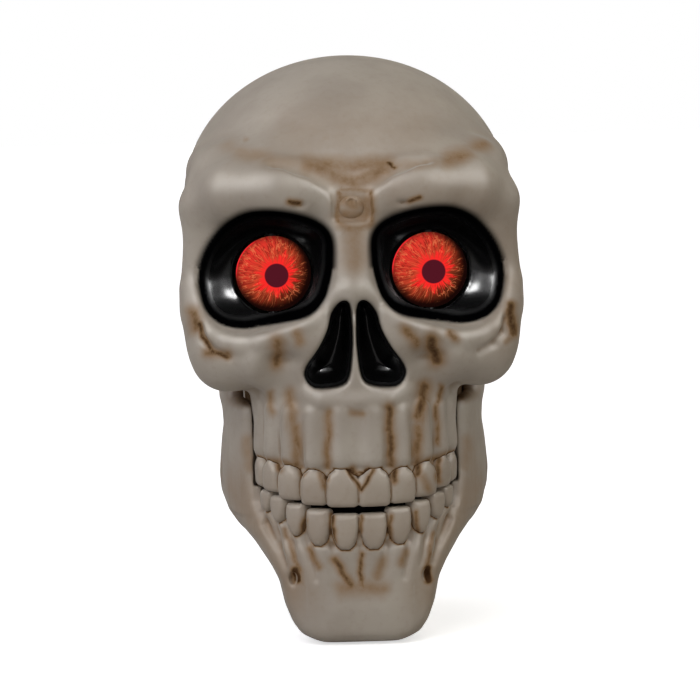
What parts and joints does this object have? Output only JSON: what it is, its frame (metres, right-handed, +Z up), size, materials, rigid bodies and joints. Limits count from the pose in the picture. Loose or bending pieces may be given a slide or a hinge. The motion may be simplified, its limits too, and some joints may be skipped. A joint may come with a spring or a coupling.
{
  "type": "halloween skull decoration",
  "caption": "Table-top bone skull ornament that stands on its lower jaw, opens its mouth by rocking the upper skull back and turns two glowing red eyes",
  "frame": {"origin": "on the table under the middle of the part's box", "axes": "+Z up, the face looks along -Y, +X is the viewer's right seen from the front"},
  "size_m": [0.1182, 0.1468, 0.198],
  "materials": {
    "bone_plastic": "aged bone paint with brown wash in the hollows, gloss black sockets",
    "dark_plastic": "moulded black",
    "gear_plastic": "natural acetal",
    "steel": "bright zinc",
    "brass_pinion": "machined",
    "rubber_foot": "matt",
    "cell_jacket": "plain printed jacket",
    "circuit_board": "green solder mask",
    "eye_red": "translucent red dome printed with an iris, lit from inside",
    "led_red": "clear red",
    "window_brown": "smoked window"
  },
  "bodies": {
    "jaw": {"jaw_shell": "bone_plastic", "hinge_pin_left": "steel", "hinge_pin_right": "steel", "jaw_base": "bone_plastic", "base_screw_1": "steel", "base_screw_2": "steel", "base_screw_3": "steel", "base_screw_4": "steel", "cell_left": "cell_jacket", "cell_right": "cell_jacket", "contact_bridge": "steel", "contact_plus": "steel", "contact_minus": "steel", "foot_left": "rubber_foot", "foot_right": "rubber_foot", "switch_body": "dark_plastic", "gear_frame": "dark_plastic", "gear_axle": "steel", "drive_motor": "steel", "gear_housing": "dark_plastic"},
    "head": {"face_shell": "bone_plastic", "rear_shell": "bone_plastic", "shell_screw_1": "steel", "shell_screw_2": "steel", "shell_screw_3": "steel", "shell_screw_4": "steel", "hinge_bushing_left": "gear_plastic", "hinge_bushing_right": "gear_plastic", "drive_sector": "gear_plastic", "eye_bracket": "dark_plastic", "bracket_screw_1": "steel", "bracket_screw_2": "steel", "bracket_screw_3": "steel", "bracket_screw_4": "steel", "eye_motor": "steel", "control_board": "circuit_board", "sensor_window": "window_brown", "light_sensor": "dark_plastic", "speaker": "dark_plastic"},
    "eye_left_body": {"eye_dome_left": "eye_red", "eye_back_left": "dark_plastic", "eye_gear_left": "gear_plastic", "eye_led_left": "led_red"},
    "eye_right_body": {"eye_dome_right": "eye_red", "eye_back_right": "dark_plastic", "eye_gear_right": "gear_plastic", "eye_led_right": "led_red"},
    "eye_gear_body": {"eye_middle_gear": "gear_plastic"},
    "reduction_body": {"reduction_gear": "gear_plastic"},
    "motor_rotor": {"motor_pinion": "brass_pinion"},
    "door_body": {"battery_door": "bone_plastic", "door_screw": "steel"},
    "knob_body": {"switch_knob": "dark_plastic"}
  },
  "joints": [
    {"name": "head_nod", "type": "hinge", "parent": "jaw", "child": "head", "pos_m": [0, 0.0115, 0.093], "axis": [-1, 0, 0], "range_deg": [0, 16]},
    {"name": "eye_turn_left", "type": "hinge", "parent": "head", "child": "eye_left_body", "pos_m": [-0.0268, -0.0345, 0.1243], "axis": [0, 0, 1], "range_deg": [-20.7, 9.3]},
    {"name": "eye_turn_right", "type": "hinge", "parent": "head", "child": "eye_right_body", "pos_m": [0.0268, -0.0345, 0.1243], "axis": [0, 0, 1], "range_deg": [-20.8, 9.4]},
    {"name": "eye_gear_turn", "type": "hinge", "parent": "head", "child": "eye_gear_body", "pos_m": [0, -0.0345, 0.1243], "axis": [0, 0, 1], "range_deg": [-6, 13.3]},
    {"name": "reduction_turn", "type": "hinge", "parent": "jaw", "child": "reduction_body", "pos_m": [0, 0.0115, 0.048], "axis": [1, 0, 0], "range_deg": [-1, 129]},
    {"name": "motor_turn", "type": "hinge", "parent": "jaw", "child": "motor_rotor", "pos_m": [0, 0.0259, 0.048], "axis": [-1, 0, 0], "range_deg": [-2, 450]},
    {"name": "battery_door_swing", "type": "hinge", "parent": "jaw", "child": "door_body", "pos_m": [0, -0.0185, 0.0012], "axis": [-1, 0, 0], "range_deg": [0, 90]},
    {"name": "switch_slide", "type": "slide", "parent": "jaw", "child": "knob_body", "axis": [1, 0, 0], "range_m": [-0.0025, 0.0025]}
  ],
  "couplings": [
    {"joint": "eye_turn_right", "follows": "eye_turn_left", "ratio": 1},
    {"joint": "eye_gear_turn", "follows": "eye_turn_left", "ratio": -0.63415},
    {"joint": "reduction_turn", "follows": "head_nod", "ratio": 8},
    {"joint": "motor_turn", "follows": "head_nod", "ratio": 28}
  ]
}
